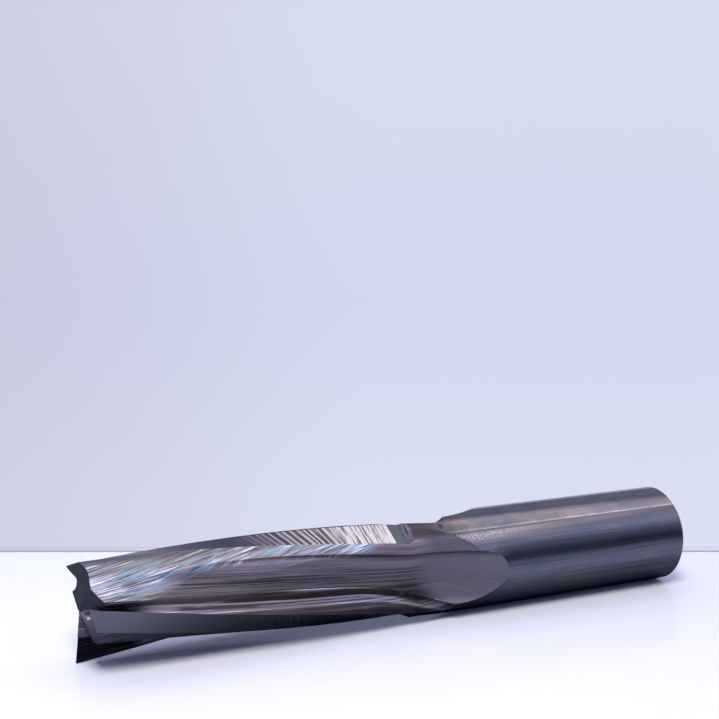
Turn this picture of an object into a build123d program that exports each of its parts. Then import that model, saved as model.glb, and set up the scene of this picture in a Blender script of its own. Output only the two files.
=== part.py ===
import os
from math import cos, radians, sin, sqrt, tan

from build123d import *

# driving sizes, millimetres and degrees
overall_length = 122.4
shank_diameter = 19.05
cutting_diameter = 19.05
end_chamfer = 0.8
tooth_count = 3
ground_length = 60.5
flute_length = 80.2
shank_start = 81.0
grinding_stock = 0.02
rake_length = 50.0
helix_lead = 354.0
wheel_radius = 39.0
first_edge_angle = 138.9
land_relief = 27.0
land_runout = 1.2
end_relief = 17.5
end_dish = 2.0
gash_slope = 36.0
gash_opening = 70.0
gash_lead = 0.25
gash_overlap = 0.5
section_change = 34.0
station_step = 11.0
run_in = 3.0

# sections of the three grinding cuts, at the tip and after section_change:
# angle from the cutting edge, share of the cutting radius
flute_tip = [(6.0, 1.35), (5.0, 1.0), (3.0, 0.89), (3.0, 0.72), (8.0, 0.61), (20.0, 0.50), (34.0, 0.50)]
flute_tip += [(45.0, 0.56), (52.0, 0.65), (56.0, 0.77), (58.0, 0.93), (58.0, 1.0), (58.0, 1.2)]
flute_full = [(6.0, 1.35), (1.5, 1.0), (-2.5, 0.89), (0.4, 0.72), (8.0, 0.61), (21.5, 0.494), (50.0, 0.484)]
flute_full += [(68.5, 0.553), (76.5, 0.665), (77.0, 0.76), (72.5, 0.93), (70.5, 1.0), (70.0, 1.2)]
rake_tip = [(2.5, 1.30), (0.0, 1.0), (-10.7, 0.72), (-18.5, 0.58), (-15.0, 0.49), (0.0, 0.465), (12.0, 0.49)]
rake_full = [(2.5, 1.30), (0.0, 1.0), (-10.7, 0.72), (-18.5, 0.58), (-15.0, 0.49), (4.0, 0.46), (24.0, 0.51)]
back_tip = [(-4.0, 1.22), (-14.0, 1.0), (-23.5, 0.893), (-38.0, 0.80)]
back_tip += [(-54.0, 0.69), (-66.0, 0.575), (-84.0, 0.50), (-104.0, 0.49)]
back_full = [(-4.0, 1.22), (-15.0, 1.0), (-30.0, 0.893), (-42.0, 0.80)]
back_full += [(-55.0, 0.69), (-68.0, 0.575), (-84.0, 0.515), (-104.0, 0.515)]


def spot(angle, reach):
    return Vector(reach * cos(radians(angle)), reach * sin(radians(angle)))


def spacing(section):
    spots = [spot(angle, share) for angle, share in section]
    runs = [0.0]
    for here, there in zip(spots, spots[1:]):
        runs.append(runs[-1] + (there - here).length)
    return [run / runs[-1] for run in runs]


shank_radius = shank_diameter / 2
cutting_radius = cutting_diameter / 2
twist_rate = 360.0 / helix_lead
tooth_step = 360.0 / tooth_count
clear_radius = 1.4 * cutting_radius
flute_cut = {"tip": flute_tip, "full": flute_full, "full_depth": ground_length, "lift_angle": 35.0}
rake_cut = {"tip": rake_tip, "full": rake_full, "full_depth": rake_length, "lift_angle": 5.0}
back_cut = {"tip": back_tip, "full": back_full, "full_depth": ground_length, "lift_angle": -68.0}
wheel_run = flute_length - ground_length
shank_top = overall_length - shank_start
bottom = (Align.CENTER, Align.CENTER, Align.MIN)
tip = Vector(0, 0, overall_length)


def section_plane(station, turn):
    across = (sin(radians(turn)), -cos(radians(turn)), 0)
    return Plane(origin=tip - Vector(0, 0, station), x_dir=across)


def turn_at(station):
    return first_edge_angle - twist_rate * min(station, ground_length)


def wheel_lift(station, full_depth):
    run = max(0.0, station - full_depth)
    return wheel_radius - sqrt(wheel_radius**2 - run**2)


def helix_stations(last):
    count = round((last + run_in) / station_step)
    return [-run_in + (last + run_in) * i / count for i in range(count + 1)]


def curved_section(cut, station):
    part = min(max(station / section_change, 0.0), 1.0)
    shift = spot(cut["lift_angle"], wheel_lift(station, cut["full_depth"]))
    points = []
    for (angle_a, share_a), (angle_b, share_b) in zip(cut["tip"], cut["full"]):
        reach = (share_a + (share_b - share_a) * part) * cutting_radius
        points.append(spot(angle_a + (angle_b - angle_a) * part, reach) + shift)
    first, last = cut["full"][0][0], cut["full"][-1][0]
    with BuildSketch(section_plane(station, turn_at(station))) as drawn:
        with BuildLine():
            edge = Edge.make_spline(points, parameters=spacing(cut["full"]))
            add(edge)
            outer = [spot(last, clear_radius), spot((first + last) / 2, 1.3 * clear_radius)]
            Polyline(edge @ 1, outer[0] + shift, outer[1] + shift, edge @ 0)
        make_face()
    return drawn.sketch


def curved_tool(cut):
    exit_run = wheel_run + run_in
    exits = [cut["full_depth"] + exit_run * i / 6 for i in range(7)]
    with BuildPart() as tool:
        loft([curved_section(cut, station) for station in helix_stations(cut["full_depth"])])
        loft([curved_section(cut, station) for station in exits])
    return tool.part


def land_section(station, lift):
    fall = Vector(-sin(radians(land_relief)), -cos(radians(land_relief)))
    edge = Vector(cutting_radius + lift, 0)
    heel = edge + 5.6 * fall
    with BuildSketch(section_plane(station, turn_at(station))) as cut:
        with BuildLine():
            Polyline(edge - 0.6 * fall, heel, heel + Vector(5.5, 0), edge + Vector(3.5, 1.5), close=True)
        make_face()
    return cut.sketch


def land_tool():
    flat_end = ground_length - land_runout
    rises = [(0.0, 0.0), (0.5, 0.12), (0.8, 0.4), (0.95, 0.9), (1.0, 1.6)]
    with BuildPart() as tool:
        loft([land_section(station, 0.0) for station in helix_stations(flat_end)])
        loft([land_section(flat_end + land_runout * run, rise) for run, rise in rises])
    return tool.part


tooth_plane = Plane(origin=tip, x_dir=section_plane(0, first_edge_angle).x_dir, z_dir=(0, 0, -1))


def end_tool():
    dish, fall = tan(radians(end_dish)), tan(radians(end_relief))
    face_point = tooth_plane.from_local_coords(Vector(cutting_radius, 0, 0))
    face_normal = tooth_plane.from_local_coords(Vector(-dish, fall, -1)) - tip
    with BuildPart() as tool:
        with BuildSketch(tooth_plane.offset(-run_in)):
            with BuildLine():
                rays = [spot(angle, clear_radius) for angle in (-6, 30, 75, 117)]
                Polyline((0, 0), *rays, close=True)
            make_face()
        extrude(amount=run_in + cutting_radius)
        split(bisect_by=Plane(origin=face_point, z_dir=face_normal), keep=Keep.TOP)
    return tool.part


def gash_tool():
    bottom = Vector(cos(radians(gash_slope)), 0, sin(radians(gash_slope)))
    start = Vector(-gash_overlap, -gash_lead, cutting_radius * tan(radians(end_dish)))
    groove = Plane(
        origin=tooth_plane.from_local_coords(start),
        x_dir=tooth_plane.from_local_coords(Vector(0, -1, 0)) - tip,
        z_dir=tooth_plane.from_local_coords(bottom) - tip,
    )
    depth = 0.9 * cutting_radius
    with BuildPart() as tool:
        with BuildSketch(groove):
            with BuildLine():
                floor = spot(90 - gash_opening, depth / sin(radians(90 - gash_opening)))
                Polyline((0, 0), floor, (0, depth), close=True)
            make_face()
        extrude(amount=cutting_radius)
    return tool.part


with BuildPart() as router_bit:
    Cylinder(shank_radius, shank_top, align=bottom)
    with Locations((0, 0, shank_top)):
        Cone(cutting_radius, cutting_radius + grinding_stock, shank_start, align=bottom)
    chamfer(router_bit.edges().sort_by(Axis.Z)[0], end_chamfer)
    tools = [curved_tool(cut) for cut in (flute_cut, back_cut, rake_cut)]
    tools += [land_tool(), end_tool(), gash_tool()]
    for tool in tools:
        for i in range(tooth_count):
            add(tool.rotate(Axis.Z, i * tooth_step), mode=Mode.SUBTRACT)

router_bit.part.label = "router_bit"
os.makedirs("parts", exist_ok=True)
export_step(router_bit.part, "parts/router_bit.step")
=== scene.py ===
import math

import bmesh
import bpy
from mathutils import Matrix, Vector


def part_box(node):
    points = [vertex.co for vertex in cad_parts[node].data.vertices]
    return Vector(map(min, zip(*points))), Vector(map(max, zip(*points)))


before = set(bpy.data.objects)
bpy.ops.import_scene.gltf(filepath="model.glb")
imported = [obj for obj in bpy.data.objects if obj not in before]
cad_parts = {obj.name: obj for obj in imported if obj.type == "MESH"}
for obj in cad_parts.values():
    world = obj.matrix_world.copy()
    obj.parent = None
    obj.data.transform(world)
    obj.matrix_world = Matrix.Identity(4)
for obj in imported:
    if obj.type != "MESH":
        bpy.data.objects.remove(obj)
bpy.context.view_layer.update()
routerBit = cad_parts["router_bit"]
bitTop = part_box("router_bit")[1].z

# real sizes that the pattern of the grinding follows, millimetres and degrees
bit = {
    "shankRadius": 9.525,
    "teeth": 3,
    "firstEdge": 138.9,  # where a cutting edge starts at the tip
    "lead": 354,  # the edges turn once round in this length
    "groundLength": 60.5,  # and stop turning here
    "landRelief": 27.0,
    "countBack": 40.0,  # this far behind an edge still counts from that edge
}
toothStep = 360 / bit["teeth"]
millimetres = 1000.0  # in a metre


# a socket takes a link from another one, or a plain value
def wire(tree, value, socket):
    if isinstance(value, bpy.types.NodeSocket):
        tree.links.new(value, socket)
    else:
        socket.default_value = value


def calc(tree, operation, *values):
    node = tree.nodes.new("ShaderNodeMath")
    node.operation = operation
    for socket, value in zip(node.inputs, values):
        wire(tree, value, socket)
    return node.outputs[0]


def plus(tree, first, second):
    return calc(tree, "ADD", first, second)


def minus(tree, first, second):
    return calc(tree, "SUBTRACT", first, second)


def times(tree, product, *others):
    for other in others:
        product = calc(tree, "MULTIPLY", product, other)
    return product


def size(tree, value):
    return calc(tree, "ABSOLUTE", value)


# from low at the start to high at the end
def fade(tree, value, start, end, low=0.0, high=1.0, smooth=True):
    node = tree.nodes.new("ShaderNodeMapRange")
    node.interpolation_type = "SMOOTHSTEP" if smooth else "LINEAR"
    names = ("Value", "From Min", "From Max", "To Min", "To Max")
    for name, setting in zip(names, (value, start, end, low, high)):
        wire(tree, setting, node.inputs[name])
    return node.outputs[0]


def fadeOut(tree, value, start, end):
    return fade(tree, value, start, end, 1.0, 0.0)


def blend(tree, factor, first, second):
    node = tree.nodes.new("ShaderNodeMix")
    node.data_type = "RGBA"
    wire(tree, factor, node.inputs[0])
    for socket, colour in zip(node.inputs[6:8], (first, second)):
        wire(tree, colour if isinstance(colour, bpy.types.NodeSocket) else (*colour, 1.0), socket)
    return node.outputs[2]


def blendValue(tree, factor, first, second):
    node = tree.nodes.new("ShaderNodeMix")
    wire(tree, factor, node.inputs[0])
    wire(tree, first, node.inputs[2])
    wire(tree, second, node.inputs[3])
    return node.outputs[0]


def vector(tree, x, y, z):
    node = tree.nodes.new("ShaderNodeCombineXYZ")
    for socket, value in zip(node.inputs, (x, y, z)):
        wire(tree, value, socket)
    return node.outputs[0]


def split(tree, place):
    node = tree.nodes.new("ShaderNodeSeparateXYZ")
    tree.links.new(place, node.inputs[0])
    return node.outputs


# how far a place lies in one direction
def distance(tree, place, direction):
    node = tree.nodes.new("ShaderNodeVectorMath")
    node.operation = "DOT_PRODUCT"
    tree.links.new(place, node.inputs[0])
    node.inputs[1].default_value = direction
    return node.outputs["Value"]


def noise(tree, place, scale, detail, roughness=0.5):
    node = tree.nodes.new("ShaderNodeTexNoise")
    wire(tree, place, node.inputs["Vector"])
    for name, setting in (("Scale", scale), ("Detail", detail), ("Roughness", roughness)):
        node.inputs[name].default_value = setting
    return node.outputs[0]


# a smooth curve through a few points, given in the units of its two axes
def tableCurve(tree, value, points, spanX, spanY):
    node = tree.nodes.new("ShaderNodeFloatCurve")
    curve = node.mapping.curves[0]
    for _ in points[2:]:
        curve.points.new(0.5, 0.5)
    for spot, (x, y) in zip(curve.points, points):
        spot.location = (x / spanX, y / spanY)
    node.mapping.update()
    tree.links.new(calc(tree, "DIVIDE", value, spanX), node.inputs["Value"])
    return times(tree, node.outputs[0], spanY)


def newMaterial(name):
    material = bpy.data.materials.new(name)
    material.use_nodes = True
    tree = material.node_tree
    return material, tree, tree.nodes["Principled BSDF"]


def newGroup(name, inputs, outputs):
    tree = bpy.data.node_groups.new(name, "ShaderNodeTree")
    for label, setting in inputs:
        socket = tree.interface.new_socket(label, in_out="INPUT", socket_type="NodeSocketFloat")
        socket.default_value = setting
    for label in outputs:
        tree.interface.new_socket(label, in_out="OUTPUT", socket_type="NodeSocketFloat")
    return tree, tree.nodes.new("NodeGroupInput").outputs, tree.nodes.new("NodeGroupOutput").inputs


def useGroup(tree, group, **settings):
    node = tree.nodes.new("ShaderNodeGroup")
    node.node_tree = group
    for label, value in settings.items():
        wire(tree, value, node.inputs[label])
    return node.outputs


# where a spot is on the bit: millimetres from the tip, distance from the centre line,
# degrees ahead of the last cutting edge, the same counted across the edge, and which tooth
def makeToolPlace():
    tree, _, out = newGroup("toolPlace", [], ("From tip", "Reach", "Ahead", "Across edge", "Turn", "Tooth"))
    x, y, z = split(tree, tree.nodes.new("ShaderNodeTexCoord").outputs["Object"])
    fromTip = times(tree, minus(tree, bitTop, z), millimetres)
    reach = calc(tree, "SQRT", plus(tree, times(tree, x, x), times(tree, y, y)))
    turn = calc(tree, "DEGREES", calc(tree, "ARCTAN2", x, times(tree, y, -1.0)))
    twisted = times(tree, calc(tree, "MINIMUM", fromTip, bit["groundLength"]), 360 / bit["lead"])
    ahead = plus(tree, minus(tree, turn, bit["firstEdge"]), twisted)
    counted = calc(tree, "FLOORED_MODULO", plus(tree, ahead, bit["countBack"]), toothStep)
    wire(tree, fromTip, out["From tip"])
    wire(tree, times(tree, reach, millimetres), out["Reach"])
    wire(tree, calc(tree, "FLOORED_MODULO", ahead, toothStep), out["Ahead"])
    wire(tree, minus(tree, counted, bit["countBack"]), out["Across edge"])
    wire(tree, turn, out["Turn"])
    wire(tree, calc(tree, "FLOOR", calc(tree, "DIVIDE", ahead, toothStep)), out["Tooth"])
    return tree


# scratches of a grinding wheel: long in one direction, fine in the other
scratch = {
    "Broad": {"across": 0.16, "along": 0.5, "shift": 0, "detail": 2.0, "limits": (0.32, 0.68), "soft": True},
    "Fine": {"across": 1.0, "along": 1.0, "shift": 11, "detail": 3.0, "limits": (0.3, 0.7), "soft": False},
    "Hue": {"across": 0.42, "along": 0.8, "shift": 31, "detail": 2.0, "limits": (0.32, 0.68), "soft": True},
}
scratchRoughness = 0.6
toothShift = 7.3  # so that no tooth repeats another


def makeScratches():
    inputs = [("Along", 0.0), ("Across", 0.0), ("Seed", 0.0)]
    inputs += [("Slant", 0.0), ("Spacing", 0.4), ("Length", 12.0)]
    tree, given, out = newGroup("grindScratches", inputs, scratch)
    slanted = times(tree, given["Along"], given["Slant"])
    side = calc(tree, "DIVIDE", minus(tree, given["Across"], slanted), given["Spacing"])
    run = calc(tree, "DIVIDE", given["Along"], given["Length"])
    seed = times(tree, given["Seed"], toothShift)
    for name, layer in scratch.items():
        across = times(tree, side, layer["across"])
        along = times(tree, run, layer["along"])
        place = vector(tree, across, along, plus(tree, seed, layer["shift"]))
        speckle = noise(tree, place, 1.0, layer["detail"], scratchRoughness)
        wire(tree, fade(tree, speckle, *layer["limits"], smooth=layer["soft"]), out[name])
    return tree


toolPlace = makeToolPlace()
scratches = makeScratches()
print("node groups ready")

# where each ground face begins and ends. The tables hold millimetres from the tip and
# degrees ahead of the cutting edge, the pairs hold the start and end of a soft border
faces = {
    "rakeToFlute": [(0, 12), (6, 13), (15, 17.5), (25, 19.6), (50, 20), (55, 16), (59, 10)]
    + [(62, 4.4), (65, 1), (100, 0)],
    "fluteToBack": [(0, 6), (8, 8), (10, 15), (12.4, 25), (14.4, 37.7), (16.4, 48), (18.4, 58)]
    + [(20.5, 62), (26, 63.8), (34.6, 64.6), (37.4, 69.7), (40.5, 75.2), (44, 76.6), (60, 76.4)]
    + [(66, 74.6), (75, 64.5), (100, 60)],
    "crease": [(0, 24), (11.4, 23.2), (16.6, 21.2), (22.4, 17.9), (28.2, 15.5), (33.3, 14.2)]
    + [(39.2, 11.8), (45.2, 11.3), (50.2, 10.2), (55.6, 7.5), (59.6, 6.5), (68, 2), (100, 0)],
    "tableLength": 100,
    "creaseSpan": 60,
    "creaseRaise": 20.0,  # the crease's table holds this much more than its angle
    "landGap": (0.04, 0.09),
    "landAhead": (88.5, 89.0),
    "landEnd": (60.4, 60.7),
    "roundReach": (9.44, 9.49),
    "backSoftness": (16.0, 21.0, 15.0, 0.5),  # its border is soft near the tip
    "backBorder": (-0.9, 0.9),
    "backAhead": (98.5, 99.5),
    "rakeBorder": (-0.4, 0.4),
    "rakeAcross": (-25.0, -24.0),
    "pastWheel": (61.0, 66.0),
    "lobeStart": (60.6, 61.2),
    "lobeReach": (8.6, 8.8),
    "lobeAhead": (84.0, 88.0),
    "runoutStart": (58.6, 58.8),
    "runoutEnd": (61.0, 61.4),
    "runoutReach": (8.1, 8.2),
    "runoutAhead": (90.5, 91.5),
}


def border(tree, fromTip, name, spanY):
    return tableCurve(tree, fromTip, faces[name], faces["tableLength"], spanY)


# the land is a flat that leans back from the cutting edge
def findLand(tree, at):
    angle = plus(tree, minus(tree, at["Ahead"], toothStep), bit["landRelief"])
    height = times(tree, at["Reach"], calc(tree, "COSINE", calc(tree, "RADIANS", angle)))
    flatHeight = bit["shankRadius"] * math.cos(math.radians(bit["landRelief"]))
    near = fadeOut(tree, size(tree, minus(tree, height, flatHeight)), *faces["landGap"])
    short = fadeOut(tree, at["From tip"], *faces["landEnd"])
    return times(tree, near, fade(tree, at["Ahead"], *faces["landAhead"]), short)


def findBack(tree, at):
    softness = fade(tree, at["From tip"], *faces["backSoftness"])
    past = minus(tree, at["Ahead"], border(tree, at["From tip"], "fluteToBack", toothStep))
    backStep = calc(tree, "DIVIDE", past, softness)
    onBack = fade(tree, backStep, *faces["backBorder"])
    return times(tree, onBack, fadeOut(tree, at["Ahead"], *faces["backAhead"])), backStep


# the rake ends where the wheel left a lobe beside the land
def findRake(tree, at):
    outer = fade(tree, at["Reach"], *faces["lobeReach"])
    outer = times(tree, outer, fade(tree, at["Ahead"], *faces["lobeAhead"]))
    onLobe = times(tree, fade(tree, at["From tip"], *faces["lobeStart"]), outer)
    past = minus(tree, at["Across edge"], border(tree, at["From tip"], "rakeToFlute", toothStep))
    start = fade(tree, at["Across edge"], *faces["rakeAcross"])
    onRake = times(tree, fadeOut(tree, past, *faces["rakeBorder"]), start, minus(tree, 1.0, onLobe))
    return onRake, onLobe


# where the land runs out, a small curved end
def findRunout(tree, at):
    fromTip = at["From tip"]
    short = fade(tree, fromTip, *faces["runoutStart"])
    short = times(tree, short, fadeOut(tree, fromTip, *faces["runoutEnd"]))
    outer = fade(tree, at["Reach"], *faces["runoutReach"])
    outer = times(tree, outer, fade(tree, at["Ahead"], *faces["runoutAhead"]))
    return times(tree, short, outer)


def grinding(tree, at, across, marks):
    return useGroup(tree, scratches, Along=at["From tip"], Across=across, Seed=at["Tooth"], **marks)


# one on the tooth that is asked for, and the other value on the rest
def onTooth(tree, at, tooth, others):
    oneTooth = (0.4, 0.6)  # teeth have whole numbers, so this lies between two
    return fade(tree, size(tree, minus(tree, at["Tooth"], tooth)), *oneTooth, 1.0, others)


# the back of each tooth: slanted scratches, with the blue and pink they split from the light painted into the
# colour as a painted sheen, and painted glints
back = {
    "grey": (0.15, 0.15, 0.155),
    "blue": (0.36, 0.60, 0.68),
    "pink": (0.52, 0.39, 0.38),
    "bright": (1.0, 1.0, 0.97),
    "heel": (0.11, 0.10, 0.10),
    "across": 0.13,
    "slanted": {"Slant": 0.30, "Spacing": 0.17, "Length": 5.5},
    "straight": {"Slant": 0.02, "Spacing": 0.14, "Length": 16.0},
    "tinted": (0.15, 0.75),
    "paintedGlints": {"Broad": (0.3, 0.75), "Hue": (0.35, 0.7), "Fine": (0.3, 0.75)},
    "heelAhead": (74.0, 90.0),
    "heelShade": (16.0, 30.0, 0.75, 0.0),
    "plainFrom": (50.0, 54.0),
    "plainCentre": 80.0,
    "plainLean": -0.16,
}


def makeBack(tree, at):
    around = times(tree, at["Ahead"], back["across"])
    slanted = grinding(tree, at, around, back["slanted"])
    straight = grinding(tree, at, around, back["straight"])
    tinted = blend(tree, slanted["Hue"], back["pink"], back["blue"])
    tinted = blend(tree, fade(tree, slanted["Fine"], *back["tinted"]), back["grey"], tinted)
    # painted highlight: bright glints along the scratches
    paintedGlints = times(tree, *(fade(tree, slanted[name], *limits) for name, limits in back["paintedGlints"].items()))
    colour = blend(tree, paintedGlints, tinted, back["bright"])
    heelShade = fade(tree, at["From tip"], *back["heelShade"])
    heelShade = times(tree, fade(tree, at["Ahead"], *back["heelAhead"]), heelShade)
    colour = blend(tree, heelShade, colour, back["heel"])
    onShoulder, shoulderColour = makeShoulder(tree, at, slanted, straight)
    colour = blend(tree, onShoulder, colour, shoulderColour)

    # towards the shank the scratches run straight
    plain = blend(tree, straight["Fine"], back["grey"], back["pink"])
    leaning = times(tree, minus(tree, at["Ahead"], back["plainCentre"]), back["plainLean"])
    colour = blend(tree, fade(tree, plus(tree, at["From tip"], leaning), *back["plainFrom"]), colour, plain)
    return colour, slanted["Fine"]


# a plainer shoulder lies between the slanted scratches and the flute
shoulder = {
    "grey": (0.20, 0.18, 0.19),
    "pink": (0.42, 0.36, 0.36),
    "line": (18.0, 32.0, 62.0, 78.0),
    "border": (-2.5, 1.5),
    "start": (18.0, 22.0),
    "tinted": (0.5, 0.9, 0.0, 0.5),
}


def makeShoulder(tree, at, slanted, straight):
    past = minus(tree, at["Ahead"], fade(tree, at["From tip"], *shoulder["line"], smooth=False))
    colour = blend(tree, straight["Fine"], shoulder["grey"], shoulder["pink"])
    colour = blend(tree, fade(tree, slanted["Broad"], *shoulder["tinted"]), colour, back["pink"])
    onShoulder = fadeOut(tree, past, *shoulder["border"])
    return times(tree, onShoulder, fade(tree, at["From tip"], *shoulder["start"])), colour


# the flute: long dark lines that follow the twist
flute = {
    "grey": (0.13, 0.117, 0.118),
    "dark": (0.045, 0.04, 0.042),
    "warm": (0.30, 0.265, 0.255),
    "across": 0.1,
    "lines": {"Spacing": 0.13, "Length": 22.0},
    "warmLines": (0.35, 1.0),
    "darkLines": (0.7, 1.0, 0.0, 0.8),
    "warmAhead": (50.0, 70.0, 0.0, 0.55),
}


def makeFlute(tree, at):
    lines = grinding(tree, at, times(tree, at["Across edge"], flute["across"]), flute["lines"])
    colour = blend(tree, lines["Broad"], flute["dark"], flute["grey"])
    colour = blend(tree, fade(tree, lines["Fine"], *flute["warmLines"]), colour, flute["warm"])
    colour = blend(tree, fade(tree, lines["Hue"], *flute["darkLines"]), colour, flute["dark"])
    colour = blend(tree, fade(tree, at["Ahead"], *flute["warmAhead"]), colour, flute["warm"])
    return colour, lines["Fine"]


# the rake face, with painted shadow that darkens it towards the tip
rake = {
    "grey": (0.25, 0.222, 0.218),
    "bright": (0.85, 0.76, 0.74),
    "paintedShadow": (0.0, 0.0, 0.0),
    "lines": {"Slant": 0.01, "Spacing": 0.3, "Length": 20.0},
    "brightLines": (0.5, 0.9),
    "coreReach": (4.9, 5.5),
    "coreShade": (6.5, 11.0, 0.92, 0.0),
    "coreStart": (1.2, 3.0),
    "outerShade": (10.0, 15.0, 0.92, 0.0),
}


def makeRake(tree, at):
    lines = grinding(tree, at, at["Reach"], rake["lines"])
    colour = blend(tree, fade(tree, lines["Fine"], *rake["brightLines"]), rake["grey"], rake["bright"])
    fromTip = at["From tip"]
    core = times(tree, fade(tree, fromTip, *rake["coreShade"]), fade(tree, fromTip, *rake["coreStart"]))
    outer = fade(tree, fromTip, *rake["outerShade"])
    # painted shadow: black over the rake near the tip, where it lies in shade
    shade = blendValue(tree, fade(tree, at["Reach"], *rake["coreReach"]), core, outer)
    return blend(tree, shade, colour, rake["paintedShadow"]), lines["Fine"]


# the crease between rake and flute: a painted highlight along it, with painted shade on its far side and a
# little below it
crease = {
    "bright": (1.0, 0.95, 0.93),
    "roughness": 0.7,
    "width": (1.2, 3.6),
    "reach": (4.9, 5.4),
    "broken": (0.1, 0.7, 0.55, 1.0),
    "start": (9.0, 14.0),
    "end": (52.0, 60.0),
    "darkFrom": (0.5, 5.0),
    "darkTo": (22.0, 32.0),
    "darkShare": (18.0, 36.0, 0.35, 0.8),
    "darkEnd": (62.0, 68.0),
    "belowFrom": (-21.0, -16.0),
    "belowTo": (-9.0, -5.0, 0.2, 0.0),
    "belowStart": (12.0, 20.0),
}


def paintCreaseLight(tree, at, lines, onRake):
    fromTip = at["From tip"]
    creaseLine = border(tree, fromTip, "crease", faces["creaseSpan"])
    side = minus(tree, plus(tree, at["Across edge"], faces["creaseRaise"]), creaseLine)
    dark = times(tree, fade(tree, side, *crease["darkFrom"]), fadeOut(tree, side, *crease["darkTo"]))
    darkShare = fade(tree, fromTip, *crease["darkShare"])
    dark = times(tree, dark, times(tree, darkShare, fadeOut(tree, fromTip, *crease["darkEnd"])))
    paintedShadeBelow = times(tree, fade(tree, side, *crease["belowFrom"]), fade(tree, side, *crease["belowTo"]))
    paintedShadeBelow = times(tree, onRake, times(tree, paintedShadeBelow, fade(tree, fromTip, *crease["belowStart"])))
    # painted highlight along the crease
    bright = fadeOut(tree, size(tree, side), *crease["width"])
    bright = times(tree, bright, fadeOut(tree, at["Reach"], *crease["reach"]))
    bright = times(tree, bright, fade(tree, lines, *crease["broken"]))
    bright = times(tree, bright, fadeOut(tree, fromTip, *crease["end"]))
    bright = times(tree, bright, fade(tree, fromTip, *crease["start"]))
    return dark, paintedShadeBelow, bright


# where the wheels left the flute: fine arcs
washout = {
    "grey": (0.17, 0.163, 0.172),
    "across": 0.12,
    "arcs": {"Slant": -0.14, "Spacing": 0.14, "Length": 12.0},
    "arcShare": 0.5,
    "lobeShade": (86.0, 98.0, 0.0, 0.8),
}


def makeWashout(tree, at):
    arcs = grinding(tree, at, times(tree, at["Across edge"], washout["across"]), washout["arcs"])
    return blend(tree, times(tree, arcs["Fine"], washout["arcShare"]), washout["grey"], flute["warm"])


# the relief land: grinding strokes across it, close together towards its end, painted pale as a highlight
land = {
    "grey": (0.13, 0.127, 0.135),
    "far": (0.062, 0.062, 0.07),
    "line": (0.85, 0.78, 0.78),
    "patch": (0.14, 0.15, 0.17),
    "toFar": (8.0, 36.0),
    "lean": (42.0, 53.0, 0.046, 0.006),
    "step": 1.25,
    "rise": (0.0, 0.08),
    "fall": (0.1, 0.34),
    "wander": {"along": 0.5, "tooth": 3.1, "detail": 2.0, "share": 1.6},
    "close": {"along": 2.9, "across": 0.02, "tooth": 5.7, "detail": 3.0, "roughness": 0.7},
    "faint": (0.42, 0.75, 0.0, 0.5),
    "dense": (0.36, 0.52),
    "toDense": (44.0, 50.0),
    "solid": (56.3, 56.8),
    "start": (26.0, 38.0),
    "fromEdge": (0.8, 2.2),
    "highlightedTooth": -1.0,
    "otherTeeth": 0.1,
    "patchStart": 57.3,
    "patchLean": 0.012,
    "strokeEnd": (-0.1, 0.15),
    "patchBorder": (0.0, 0.2),
}


def wideStrokes(tree, at, stroke):
    wander = land["wander"]
    place = vector(tree, times(tree, stroke, wander["along"]), times(tree, at["Tooth"], wander["tooth"]), 0.0)
    wandering = times(tree, noise(tree, place, 1.0, wander["detail"]), wander["share"])
    phase = calc(tree, "FRACT", plus(tree, calc(tree, "DIVIDE", stroke, land["step"]), wandering))
    return times(tree, fade(tree, phase, *land["rise"]), fadeOut(tree, phase, *land["fall"]))


def closeStrokes(tree, at, stroke, behind):
    close = land["close"]
    along, across = times(tree, stroke, close["along"]), times(tree, behind, close["across"])
    place = vector(tree, along, across, times(tree, at["Tooth"], close["tooth"]))
    return noise(tree, place, 1.0, close["detail"], close["roughness"])


def makeLand(tree, at):
    fromTip = at["From tip"]
    behind = minus(tree, toothStep, at["Ahead"])
    stroke = minus(tree, fromTip, times(tree, behind, fade(tree, fromTip, *land["lean"])))
    close = closeStrokes(tree, at, stroke, behind)
    loose = calc(tree, "MAXIMUM", wideStrokes(tree, at, stroke), fade(tree, close, *land["faint"]))
    dense = calc(tree, "MAXIMUM", fade(tree, close, *land["dense"]), fade(tree, fromTip, *land["solid"]))
    strokes = blendValue(tree, fade(tree, fromTip, *land["toDense"]), loose, dense)
    strokes = times(tree, strokes, fade(tree, fromTip, *land["start"]), fade(tree, behind, *land["fromEdge"]))
    # the strokes are real, their pale colour a painted highlight: full on the tooth that faces the light,
    # faint on the others
    strokes = times(tree, strokes, onTooth(tree, at, land["highlightedTooth"], land["otherTeeth"]))

    # a plain patch ends the land
    patchStart = plus(tree, land["patchStart"], times(tree, behind, land["patchLean"]))
    past = minus(tree, fromTip, patchStart)
    strokes = times(tree, strokes, fadeOut(tree, past, *land["strokeEnd"]))
    colour = blend(tree, fade(tree, fromTip, *land["toFar"], smooth=False), land["grey"], land["far"])
    colour = blend(tree, strokes, colour, land["line"])
    return blend(tree, fade(tree, past, *land["patchBorder"]), colour, land["patch"]), strokes
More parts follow.
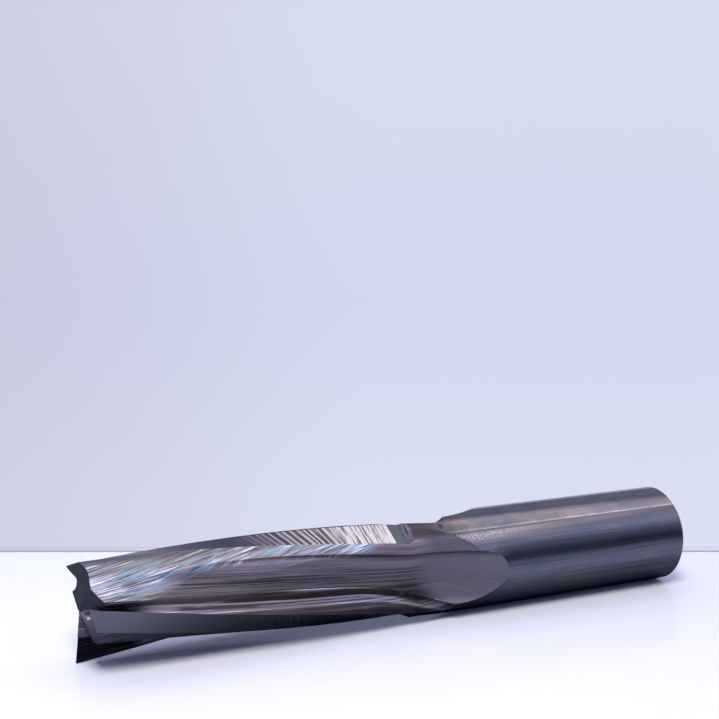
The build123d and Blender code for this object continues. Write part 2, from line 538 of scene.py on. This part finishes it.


# the round shank: plain ground finish with a faint grain, frost specks painted bright only in the band where
# the light falls, and a painted highlight along it
shank = {
    "grey": (0.13, 0.125, 0.132),
    "blue": (0.095, 0.12, 0.152),
    "frostAndHighlight": (0.5, 0.48, 0.47),
    "grain": {"around": 0.6, "along": 5.0, "shift": 0.0, "detail": 4.0, "roughness": 0.7},
    "blotch": {"around": 0.04, "along": 0.12, "shift": 4.0, "detail": 3.0, "roughness": 0.6},
    "bands": {"around": 0.28, "along": 0.03, "shift": 9.0, "detail": 4.0, "roughness": 0.7},
    "speck": {"around": 0.8, "along": 3.2, "shift": 2.0, "detail": 3.0, "roughness": 0.75},
    "warmGrain": (0.3, 0.75, 0.0, 0.3),
    "darkBands": (0.45, 0.72, 0.0, 0.75),
    "blueBlotch": (0.40, 0.62, 0.1, 0.6),
    "frostFrom": (28.0, 40.0),
    "frostTo": (46.0, 60.0),
    "frostEnd": (70.0, 96.0),
    "frostSpeck": (0.42, 0.66),
    "ridgeTurn": 50.5,
    "ridgeRise": (-0.9, -0.5),
    "ridgeFall": (0.2, 1.6),
    "ridgeBands": (0.3, 0.6, 0.9, 0.35),
    "warmRise": (-5.0, -1.0),
    "warmShare": 0.5,
    "underRise": (-5.5, -3.0),
    "underFall": (-1.4, -1.0),
    "underShare": 0.55,
    "marginFrom": (56.0, 60.0),
    "marginShade": (64.0, 74.0, 0.95, 0.0),
    "roughness": 0.05,
    "roughBlotch": 0.05,
}


def shankNoise(tree, at, name):
    layer = shank[name]
    around, along = times(tree, at["Turn"], layer["around"]), times(tree, at["From tip"], layer["along"])
    return noise(tree, vector(tree, around, along, layer["shift"]), 1.0, layer["detail"], layer["roughness"])


# painted reflection: a highlight line along the shank, painted shade just under it, and the shank above it
# painted paler and warmer
def paintShankReflection(tree, at, colour, bands):
    fromHighlight = minus(tree, at["Turn"], shank["ridgeTurn"])
    warmer = blend(tree, shank["warmShare"], colour, flute["warm"])
    colour = blend(tree, fade(tree, fromHighlight, *shank["warmRise"], smooth=False), colour, warmer)
    paintedShadeUnder = times(tree, fade(tree, fromHighlight, *shank["underRise"]), fadeOut(tree, fromHighlight, *shank["underFall"]))
    colour = blend(tree, times(tree, paintedShadeUnder, shank["underShare"]), colour, flute["dark"])
    onPaintedHighlight = times(tree, fade(tree, fromHighlight, *shank["ridgeRise"]), fadeOut(tree, fromHighlight, *shank["ridgeFall"]))
    return blend(tree, times(tree, onPaintedHighlight, fade(tree, bands, *shank["ridgeBands"])), colour, shank["frostAndHighlight"])


def makeShank(tree, at):
    fromTip, turn = at["From tip"], at["Turn"]
    grain, blotch = shankNoise(tree, at, "grain"), shankNoise(tree, at, "blotch")
    bands, speck = shankNoise(tree, at, "bands"), shankNoise(tree, at, "speck")
    colour = blend(tree, fade(tree, grain, *shank["warmGrain"]), shank["grey"], flute["warm"])
    colour = blend(tree, fade(tree, bands, *shank["darkBands"]), colour, flute["dark"])
    # real rough frost near the flutes, its specks painted bright only in the lit band
    frostInLitBand = times(tree, fade(tree, turn, *shank["frostFrom"]), fadeOut(tree, turn, *shank["frostTo"]))
    frostInLitBand = times(tree, frostInLitBand, fadeOut(tree, fromTip, *shank["frostEnd"]))
    frostInLitBand = times(tree, frostInLitBand, fade(tree, speck, *shank["frostSpeck"]))
    colour = paintShankReflection(tree, at, blend(tree, frostInLitBand, colour, shank["frostAndHighlight"]), bands)
    colour = blend(tree, fade(tree, blotch, *shank["blueBlotch"]), colour, shank["blue"])
    margin = fade(tree, fromTip, *shank["marginShade"])
    margin = times(tree, margin, fade(tree, fromTip, *shank["marginFrom"]))
    colour = blend(tree, margin, colour, flute["dark"])
    roughness = plus(tree, shank["roughness"], times(tree, blotch, shank["roughBlotch"]))
    return colour, grain, roughness


# the ground end faces, with the steeper gashes between them
endFace = {
    "grey": (0.046, 0.043, 0.047),
    "pale": (0.12, 0.115, 0.12),
    "gash": (0.15, 0.143, 0.153),
    "upright": (0.42, 0.5),
    "flat": (0.84, 0.9),
    "depth": (7.0, 8.0),
    "paleTooth": -2.0,
}


def makeEnd(tree, at, upright):
    flat = fade(tree, upright, *endFace["flat"])
    colour = blend(tree, flat, endFace["gash"], endFace["grey"])
    paler = times(tree, onTooth(tree, at, endFace["paleTooth"], 0.0), flat)
    onEnd = fade(tree, upright, *endFace["upright"])
    onEnd = times(tree, onEnd, fadeOut(tree, at["From tip"], *endFace["depth"]))
    return onEnd, blend(tree, paler, colour, endFace["pale"])


carbide = {
    "bumpStrength": 0.35,
    "bumpDistance": 0.00006,
    "backBump": (0.9, 6.0),
    "roughness": 0.40,
    "washoutRoughness": 0.52,
    "landRoughness": 0.30,
    "metallic": 1.0,
}


def makeCarbide():
    material, tree, shader = newMaterial("groundCarbide")
    at = useGroup(tree, toolPlace)
    upright = split(tree, tree.nodes.new("ShaderNodeNewGeometry").outputs["Normal"])[2]

    # each ground face: where it is, its colour and its scratches
    onLand = findLand(tree, at)
    onBack, backStep = findBack(tree, at)
    onRake, onLobe = findRake(tree, at)
    onRound = times(tree, fade(tree, at["Reach"], *faces["roundReach"]), minus(tree, 1.0, onLand))
    pastWheel = fade(tree, at["From tip"], *faces["pastWheel"])
    backColour, backLines = makeBack(tree, at)
    fluteColour, fluteLines = makeFlute(tree, at)
    rakeColour, rakeLines = makeRake(tree, at)
    landColour, strokes = makeLand(tree, at)
    shankColour, grain, shankRoughness = makeShank(tree, at)
    dark, paintedShadeBelow, bright = paintCreaseLight(tree, at, fluteLines, onRake)
    onEnd, endColour = makeEnd(tree, at, upright)
    lobeShade = times(tree, onLobe, fade(tree, at["Ahead"], *washout["lobeShade"]))

    # every face lies over the ones before it
    layers = [(onBack, backColour), (pastWheel, makeWashout(tree, at)), (lobeShade, flute["dark"])]
    # the rake, then painted shade beside and below the crease, and the crease's painted highlight
    layers += [(onRake, rakeColour), (dark, flute["dark"]), (paintedShadeBelow, flute["dark"])]
    layers += [(bright, crease["bright"])]
    layers += [(onRound, shankColour), (onLand, landColour), (findRunout(tree, at), land["patch"])]
    layers += [(onEnd, endColour)]
    colour = fluteColour
    for mask, layer in layers:
        colour = blend(tree, mask, colour, layer)
    wire(tree, colour, shader.inputs["Base Color"])

    height = fluteLines
    backHeight = times(tree, backLines, fade(tree, backStep, *carbide["backBump"]))
    for mask, layer in ((onBack, backHeight), (onRake, rakeLines), (onLand, strokes), (onRound, grain)):
        height = blendValue(tree, mask, height, layer)
    bump = tree.nodes.new("ShaderNodeBump")
    bump.inputs["Strength"].default_value = carbide["bumpStrength"]
    bump.inputs["Distance"].default_value = carbide["bumpDistance"]
    wire(tree, height, bump.inputs["Height"])
    wire(tree, bump.outputs[0], shader.inputs["Normal"])

    rough = blendValue(tree, pastWheel, carbide["roughness"], carbide["washoutRoughness"])
    rough = blendValue(tree, bright, rough, crease["roughness"])
    rough = blendValue(tree, onRound, rough, shankRoughness)
    rough = blendValue(tree, onLand, rough, carbide["landRoughness"])
    wire(tree, rough, shader.inputs["Roughness"])
    shader.inputs["Metallic"].default_value = carbide["metallic"]
    return material


routerBit.data.materials.clear()
routerBit.data.materials.append(makeCarbide())
print("carbide ready")

# the bit lies against a white sheet, with a pale wall behind it: seen from here, up is +X
view = {
    "place": (0.066426, -0.203007, 0.170022),
    "pitch": 6.631,
    "yaw": 26.325,
    "lens": 62.562,
    "sensor": 36,
    "nearest": 0.01,
}
stage = {
    "sheetLevel": -bit["shankRadius"] / millimetres,
    "wallDistance": 0.2756,
    "width": 0.46,
    "near": -0.02,
    "wallHeight": 0.30,
}
pitch, yaw = math.radians(view["pitch"]), math.radians(view["yaw"])
outward = Vector((0, math.cos(yaw), -math.sin(yaw)))
sideways = Vector((0, -math.sin(yaw), -math.cos(yaw)))


def makeCamera():
    forward = (outward * math.cos(pitch) - Vector((math.sin(pitch), 0, 0))).normalized()
    up = sideways.cross(forward)
    camera = bpy.data.objects.new("camera", bpy.data.cameras.new("camera"))
    bpy.context.scene.collection.objects.link(camera)
    camera.data.lens = view["lens"]
    camera.data.sensor_width = view["sensor"]
    camera.data.clip_start = view["nearest"]
    turned = Matrix((sideways, up, -forward)).transposed().to_4x4()
    camera.matrix_world = Matrix.Translation(view["place"]) @ turned
    bpy.context.scene.camera = camera


def makePanel(name, corner, across, upwards, material):
    mesh = bpy.data.meshes.new(name)
    panel = bmesh.new()
    bmesh.ops.create_grid(panel, x_segments=1, y_segments=1, size=0.5)
    facing = across.normalized().cross(upwards.normalized())
    turned = Matrix((across, upwards, facing)).transposed().to_4x4()
    placed = Matrix.Translation(corner + (across + upwards) / 2) @ turned
    bmesh.ops.transform(panel, matrix=placed, verts=panel.verts)
    panel.to_mesh(mesh)
    panel.free()
    mesh.materials.append(material)
    obj = bpy.data.objects.new(name, mesh)
    bpy.context.scene.collection.objects.link(obj)


def mixShaders(tree, factor, first, second):
    mixed = tree.nodes.new("ShaderNodeMixShader")
    for socket, value in zip(mixed.inputs, (factor, first, second)):
        tree.links.new(value, socket)
    return mixed.outputs[0]


# seen from behind, the sheet and the wall don't hide the bit
def oneSided(tree, shader, alsoClear=0.0):
    clear = tree.nodes.new("ShaderNodeBsdfTransparent").outputs[0]
    behind = tree.nodes.new("ShaderNodeNewGeometry").outputs["Backfacing"]
    surface = mixShaders(tree, calc(tree, "MAXIMUM", behind, alsoClear), shader, clear)
    tree.links.new(surface, tree.nodes["Material Output"].inputs["Surface"])


# depths are metres in +Y from the bit's centre line. The bit mirrors darker colours, painted shade that is
# darkest near its centre line: a painted contact shadow seen only in its reflections
sheet = {
    "near": (0.815, 0.81, 0.89),
    "far": (0.905, 0.905, 0.96),
    "toFar": (-0.07, 0.04),
    "dust": (0.8, 0.81, 0.9),
    "dustScale": 900.0,
    "dustDetail": 2.0,
    "dustShare": (0.3, 0.7, 0.0, 0.1),
    "mirroredNear": (0.032, 0.042, 0.078),
    "mirroredFar": (0.64, 0.67, 0.86),
    "toMirroredFar": (0.003, 0.022),
    "roughness": 0.12,
    "gloss": 1.5,
}


def makeSheetMaterial():
    material, tree, shader = newMaterial("glossySheet")
    place = tree.nodes.new("ShaderNodeTexCoord").outputs["Object"]
    depth = split(tree, place)[1]
    pale = blend(tree, fade(tree, depth, *sheet["toFar"], smooth=False), sheet["near"], sheet["far"])
    dust = noise(tree, place, sheet["dustScale"], sheet["dustDetail"])
    pale = blend(tree, fade(tree, dust, *sheet["dustShare"]), pale, sheet["dust"])
    # painted shade for reflections only: darkest near the bit's centre line
    away = fade(tree, size(tree, depth), *sheet["toMirroredFar"])
    paintedShadeMirrored = blend(tree, away, sheet["mirroredNear"], sheet["mirroredFar"])
    glossyRay = tree.nodes.new("ShaderNodeLightPath").outputs["Is Glossy Ray"]
    wire(tree, blend(tree, glossyRay, pale, paintedShadeMirrored), shader.inputs["Base Color"])
    shader.inputs["Roughness"].default_value = sheet["roughness"]
    shader.inputs["IOR"].default_value = sheet["gloss"]
    oneSided(tree, shader.outputs[0])
    return material


# heights are millimetres above the sheet
wall = {
    "foot": (0.70, 0.735, 0.89),
    "middle": (0.645, 0.69, 0.86),
    "top": (0.685, 0.72, 0.87),
    "toMiddle": (2.0, 60.0),
    "toTop": (50.0, 130.0),
    "dim": (0.9, 0.86, 0.88, 1.0),
    "dimSide": (-0.09, 0.01),  # metres to the side of the camera
    "seam": (0.5, 0.5, 0.62),
    "seamShare": 0.5,
    "seamRise": (0.9, 1.0),
    "seamFall": (1.15, 1.3),
    "gap": (0.3, 0.3, 0.38),
    "gapRise": (0.15, 0.2),
    "gapFall": (0.35, 0.5),
    "lit": (0.8, 0.82, 0.9, 1.0),
}


# a little darker on one side
def dimmed(tree, place, pale):
    middle = Vector(view["place"]).dot(sideways)
    start, end = (middle + share for share in wall["dimSide"])
    node = tree.nodes.new("ShaderNodeMix")
    node.data_type = "RGBA"
    node.blend_type = "MULTIPLY"
    wire(tree, fadeOut(tree, distance(tree, place, sideways), start, end), node.inputs[0])
    tree.links.new(pale, node.inputs[6])
    node.inputs[7].default_value = wall["dim"]
    return node.outputs[2]


def makeWallMaterial():
    material, tree, shader = newMaterial("paleWall")
    place = tree.nodes.new("ShaderNodeTexCoord").outputs["Object"]
    height = times(tree, minus(tree, split(tree, place)[0], stage["sheetLevel"]), millimetres)
    pale = blend(tree, fade(tree, height, *wall["toMiddle"]), wall["foot"], wall["middle"])
    pale = blend(tree, fade(tree, height, *wall["toTop"]), pale, wall["top"])
    seam = times(tree, fade(tree, height, *wall["seamRise"]), fadeOut(tree, height, *wall["seamFall"]))
    gap = times(tree, fade(tree, height, *wall["gapRise"]), fadeOut(tree, height, *wall["gapFall"]))
    pale = blend(tree, times(tree, seam, wall["seamShare"]), dimmed(tree, place, pale), wall["seam"])
    pale = blend(tree, gap, pale, wall["gap"])
    shader.inputs["Base Color"].default_value = wall["lit"]
    glow = tree.nodes.new("ShaderNodeEmission")
    wire(tree, pale, glow.inputs["Color"])
    rays = tree.nodes.new("ShaderNodeLightPath").outputs
    mixed = mixShaders(tree, rays["Is Camera Ray"], shader.outputs[0], glow.outputs[0])
    # the sky behind it is what the bit mirrors
    oneSided(tree, mixed, rays["Is Glossy Ray"])
    return material


def makeStage():
    foot = Vector((stage["sheetLevel"], view["place"][1], view["place"][2]))
    left = foot - sideways * stage["width"] / 2
    across = sideways * stage["width"]
    deep = outward * (stage["wallDistance"] - stage["near"])
    upwards = Vector((stage["wallHeight"], 0, 0))
    makePanel("sheet", left + outward * stage["near"], across, deep, makeSheetMaterial())
    makePanel("wall", left + outward * stage["wallDistance"], across, upwards, makeWallMaterial())


# what shines on the bit from each height: share of the way up, colour as the bit sees it
lights = {
    "strip": {
        "place": (0.40, -0.25, 0.20),
        "size": (0.12, 0.20),
        "power": 2.14,
        "colour": (1.0, 0.972, 0.92),
    },
    "front": [(0.0, (0.12, 0.14, 0.26)), (0.17, (0.13, 0.155, 0.27)), (0.29, (0.27, 0.31, 0.52))]
    + [(0.41, (0.5, 0.53, 0.84)), (0.52, (0.88, 0.94, 1.42)), (0.62, (1.3, 1.36, 1.95))]
    + [(0.69, (1.1, 1.08, 1.6)), (0.73, (0.6, 0.56, 0.8)), (0.755, (1.9, 1.65, 2.05))]
    + [(0.79, (3.0, 2.7, 3.1)), (0.85, (0.9, 0.9, 1.0)), (1.0, (0.7, 0.71, 0.8))],
    "behind": [(0.0, (0.6, 0.62, 0.8)), (0.21, (0.3, 0.33, 0.5)), (0.34, (0.25, 0.29, 0.47))]
    + [(0.56, (0.46, 0.48, 0.72)), (0.65, (0.34, 0.36, 0.52)), (0.72, (0.40, 0.37, 0.5))]
    + [(0.755, (0.8, 0.7, 0.85)), (0.772, (2.4, 2.1, 2.5)), (0.80, (2.9, 2.6, 3.0))]
    + [(0.85, (0.9, 0.9, 1.0)), (1.0, (0.7, 0.71, 0.8))],
    "toBehind": (0.15, 0.35),
    "backdrop": (0.66, 0.69, 0.85),
    "fill": (0.9, 1.06, 1.85),  # tints the light that reaches matt surfaces
    "fillShare": 0.7,
    "fillStrength": 0.4,
}


def skyRamp(tree, rise, stops):
    node = tree.nodes.new("ShaderNodeValToRGB")
    ramp = node.color_ramp
    for _ in stops[2:]:
        ramp.elements.new(0.5)
    for element, (share, colour) in zip(ramp.elements, stops):
        element.position = share
        element.color = (*colour, 1.0)
    tree.links.new(rise, node.inputs[0])
    return node.outputs[0]


# the lamp lights the sheet and isn't mirrored in the bit
def makeLamp():
    strip = lights["strip"]
    data = bpy.data.lights.new("strip", "AREA")
    data.shape = "RECTANGLE"
    data.size, data.size_y = strip["size"]
    data.energy = strip["power"]
    data.color = strip["colour"]
    lamp = bpy.data.objects.new("strip", data)
    bpy.context.scene.collection.objects.link(lamp)
    lamp.location = strip["place"]
    lamp.visible_glossy = False
    away = (lamp.location - Vector((0, 0, bitTop * 0.5))).normalized()
    side = Vector((0, 1, 0)).cross(away).normalized()
    lamp.rotation_euler = Matrix((side, away.cross(side), away)).transposed().to_euler()


def makeSky():
    world = bpy.data.worlds.new("studio")
    bpy.context.scene.world = world
    world.use_nodes = True
    tree = world.node_tree
    direction = tree.nodes.new("ShaderNodeTexCoord").outputs["Generated"]
    rise = split(tree, direction)[0]
    turned = fade(tree, distance(tree, direction, outward), *lights["toBehind"])
    sky = blend(tree, turned, skyRamp(tree, rise, lights["front"]), skyRamp(tree, rise, lights["behind"]))
    rays = tree.nodes.new("ShaderNodeLightPath").outputs
    sky = blend(tree, rays["Is Camera Ray"], sky, lights["backdrop"])
    sky = blend(tree, times(tree, rays["Is Diffuse Ray"], lights["fillShare"]), sky, lights["fill"])
    background = tree.nodes["Background"]
    wire(tree, sky, background.inputs["Color"])
    strength = fade(tree, rays["Is Diffuse Ray"], 0.0, 1.0, 1.0, lights["fillStrength"])
    wire(tree, strength, background.inputs["Strength"])


makeCamera()
makeStage()
makeLamp()
makeSky()
bpy.context.scene.view_settings.view_transform = "Standard"
print("stage, camera and lights ready")
